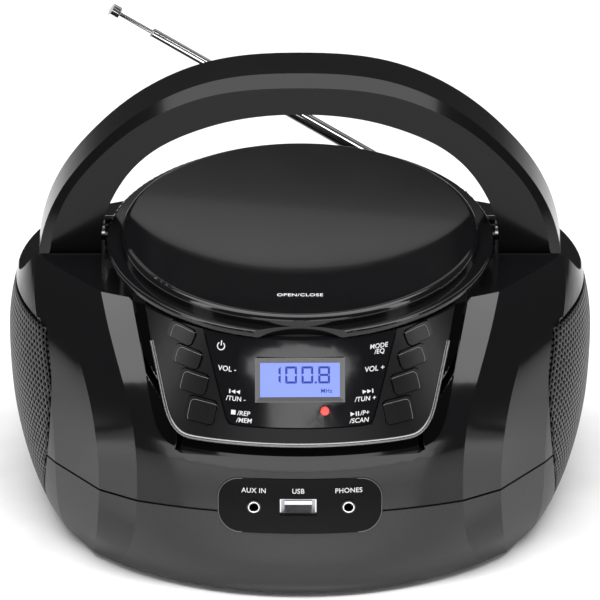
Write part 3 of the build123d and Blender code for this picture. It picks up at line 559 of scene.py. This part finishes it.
# name, outlines, x, z
ICONS = (
    ("mark_power", [ring_arc(1.7, 0.42, pi / 2 + 0.6, pi / 2 + 2 * pi - 0.6), rect(-0.22, 0.22, 0.2, 2.2)],
     -31.0, 99.2),
    ("mark_skip_back",
     [rect(-2.3, -1.8, -0.8, 0.8), triangle(0.2, 1.7, 1.6, -1), triangle(2.1, 1.7, 1.6, -1)], -25.6, 82.9),
    ("mark_stop", [rect(-0.9, 0.9, -0.9, 0.9)], -26.2, 75.2),
    ("mark_skip_forward",
     [triangle(-2.1, 1.7, 1.6), triangle(-0.2, 1.7, 1.6), rect(1.8, 2.3, -0.8, 0.8)], 26.6, 82.9),
    ("mark_play",
     [triangle(-2.2, 1.7, 1.7), rect(-0.1, 0.35, -0.85, 0.85), rect(0.8, 1.25, -0.85, 0.85)], 22.0, 75.0),
)
for name, text, size, x, z, slant in WORDS:
    words(name, text, size, front_place(x, z), shear=slant)
for name, outlines, x, z in ICONS:
    plates(name, outlines, PRINT, front_place(x, z))
point, normal = hit(LID, (0, LID_MARK_Y * MM, CLEAR), (0, 0, -1))
lid_place = Matrix.Translation(point + normal * LID_MARK_LIFT * MM) @ Matrix.Rotation(LID_TILT, 4, "X")
words("mark_open", "OPEN/CLOSE", LID_MARK_SIZE, lid_place, body="lid")

# ---------------------------------------------------------------- rings round the sockets
JACK_Z = 37.7
RING = [(1.8, -0.4), (1.8, 0.35), (1.95, 0.5), (2.25, 0.5), (2.4, 0.3), (2.4, -0.4)]
FACE_FORWARD = Matrix.Rotation(radians(90), 4, "X")
for name, node in (("aux_ring", "aux_jack"), ("phones_ring", "phones_jack")):
    low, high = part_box(node)
    centre = Vector(((low.x + high.x) / 2, low.y, JACK_Z * MM))
    lathe(name, RING, FINISH["jack_metal"], "case", Matrix.Translation(centre) @ FACE_FORWARD)

# ---------------------------------------------------------------- floor and light, in metres
FLOOR = 3.0
mesh = bpy.data.meshes.new("floor")
mesh.from_pydata([(-FLOOR, -FLOOR, 0), (FLOOR, -FLOOR, 0), (FLOOR, FLOOR * 1.5, 0), (-FLOOR, FLOOR * 1.5, 0)],
                 [], [[0, 1, 2, 3]])
floor = bpy.data.objects.new("floor", mesh)
bpy.context.scene.collection.objects.link(floor)
paint(floor, FLOOR_WHITE)

world = bpy.data.worlds.new("studio")
bpy.context.scene.world = world
world.use_nodes = True
world.node_tree.nodes["Background"].inputs["Color"].default_value = (0.5, 0.5, 0.5, 1)
world.node_tree.nodes["Background"].inputs["Strength"].default_value = AMBIENT


def softbox(name, at, target, size, power):
    """A rectangular area light of the given width and height, aimed at a point."""
    lamp = bpy.data.lights.new(name, "AREA")
    lamp.shape = "RECTANGLE"
    lamp.size, lamp.size_y = size
    lamp.energy = power
    obj = bpy.data.objects.new(name, lamp)
    obj.location = at
    obj.rotation_euler = (Vector(target) - Vector(at)).to_track_quat("-Z", "Y").to_euler()
    bpy.context.scene.collection.objects.link(obj)
    return obj


softbox("overhead", at=(0, -0.2, 1.7), target=(0, 0, 0), size=(2.6, 1.6), power=62)
for name, x in (("left_strip", -1.3), ("right_strip", 1.3)):
    softbox(name, at=(x, -0.7, 0.7), target=(0, 0, 0.08), size=(0.35, 1.2), power=7)
# low card in front, mirrored in the lower part of the display window and over the front of the casing
softbox("front_card", at=(0, -1.2, 0.165), target=(0, 0, 0.165), size=(1.3, 0.31), power=4)
# slanted card behind, mirrored across the lid, most of all over its middle
back_card = softbox("back_card", at=(0, 0.8, 1.06), target=(0, 0, 1.06), size=(1.7, 0.8), power=4)
back_card.rotation_euler.rotate_axis("Z", radians(-6))

# ---------------------------------------------------------------- camera
ELEVATION, DISTANCE, VIEW_WIDTH, AIM_Z = radians(25), 5.0, 0.24, 0.0818
SENSOR = 36
camera = bpy.data.cameras.new("camera")
camera.sensor_width = SENSOR
camera.lens = SENSOR * DISTANCE / VIEW_WIDTH
camera.clip_end = 20
eye = bpy.data.objects.new("camera", camera)
aim = Vector((0, 0, AIM_Z))
eye.location = aim + DISTANCE * Vector((0, -cos(ELEVATION), sin(ELEVATION)))
eye.rotation_euler = (aim - eye.location).to_track_quat("-Z", "Y").to_euler()
bpy.context.scene.collection.objects.link(eye)
bpy.context.scene.camera = eye
bpy.context.scene.view_settings.view_transform = "Standard"
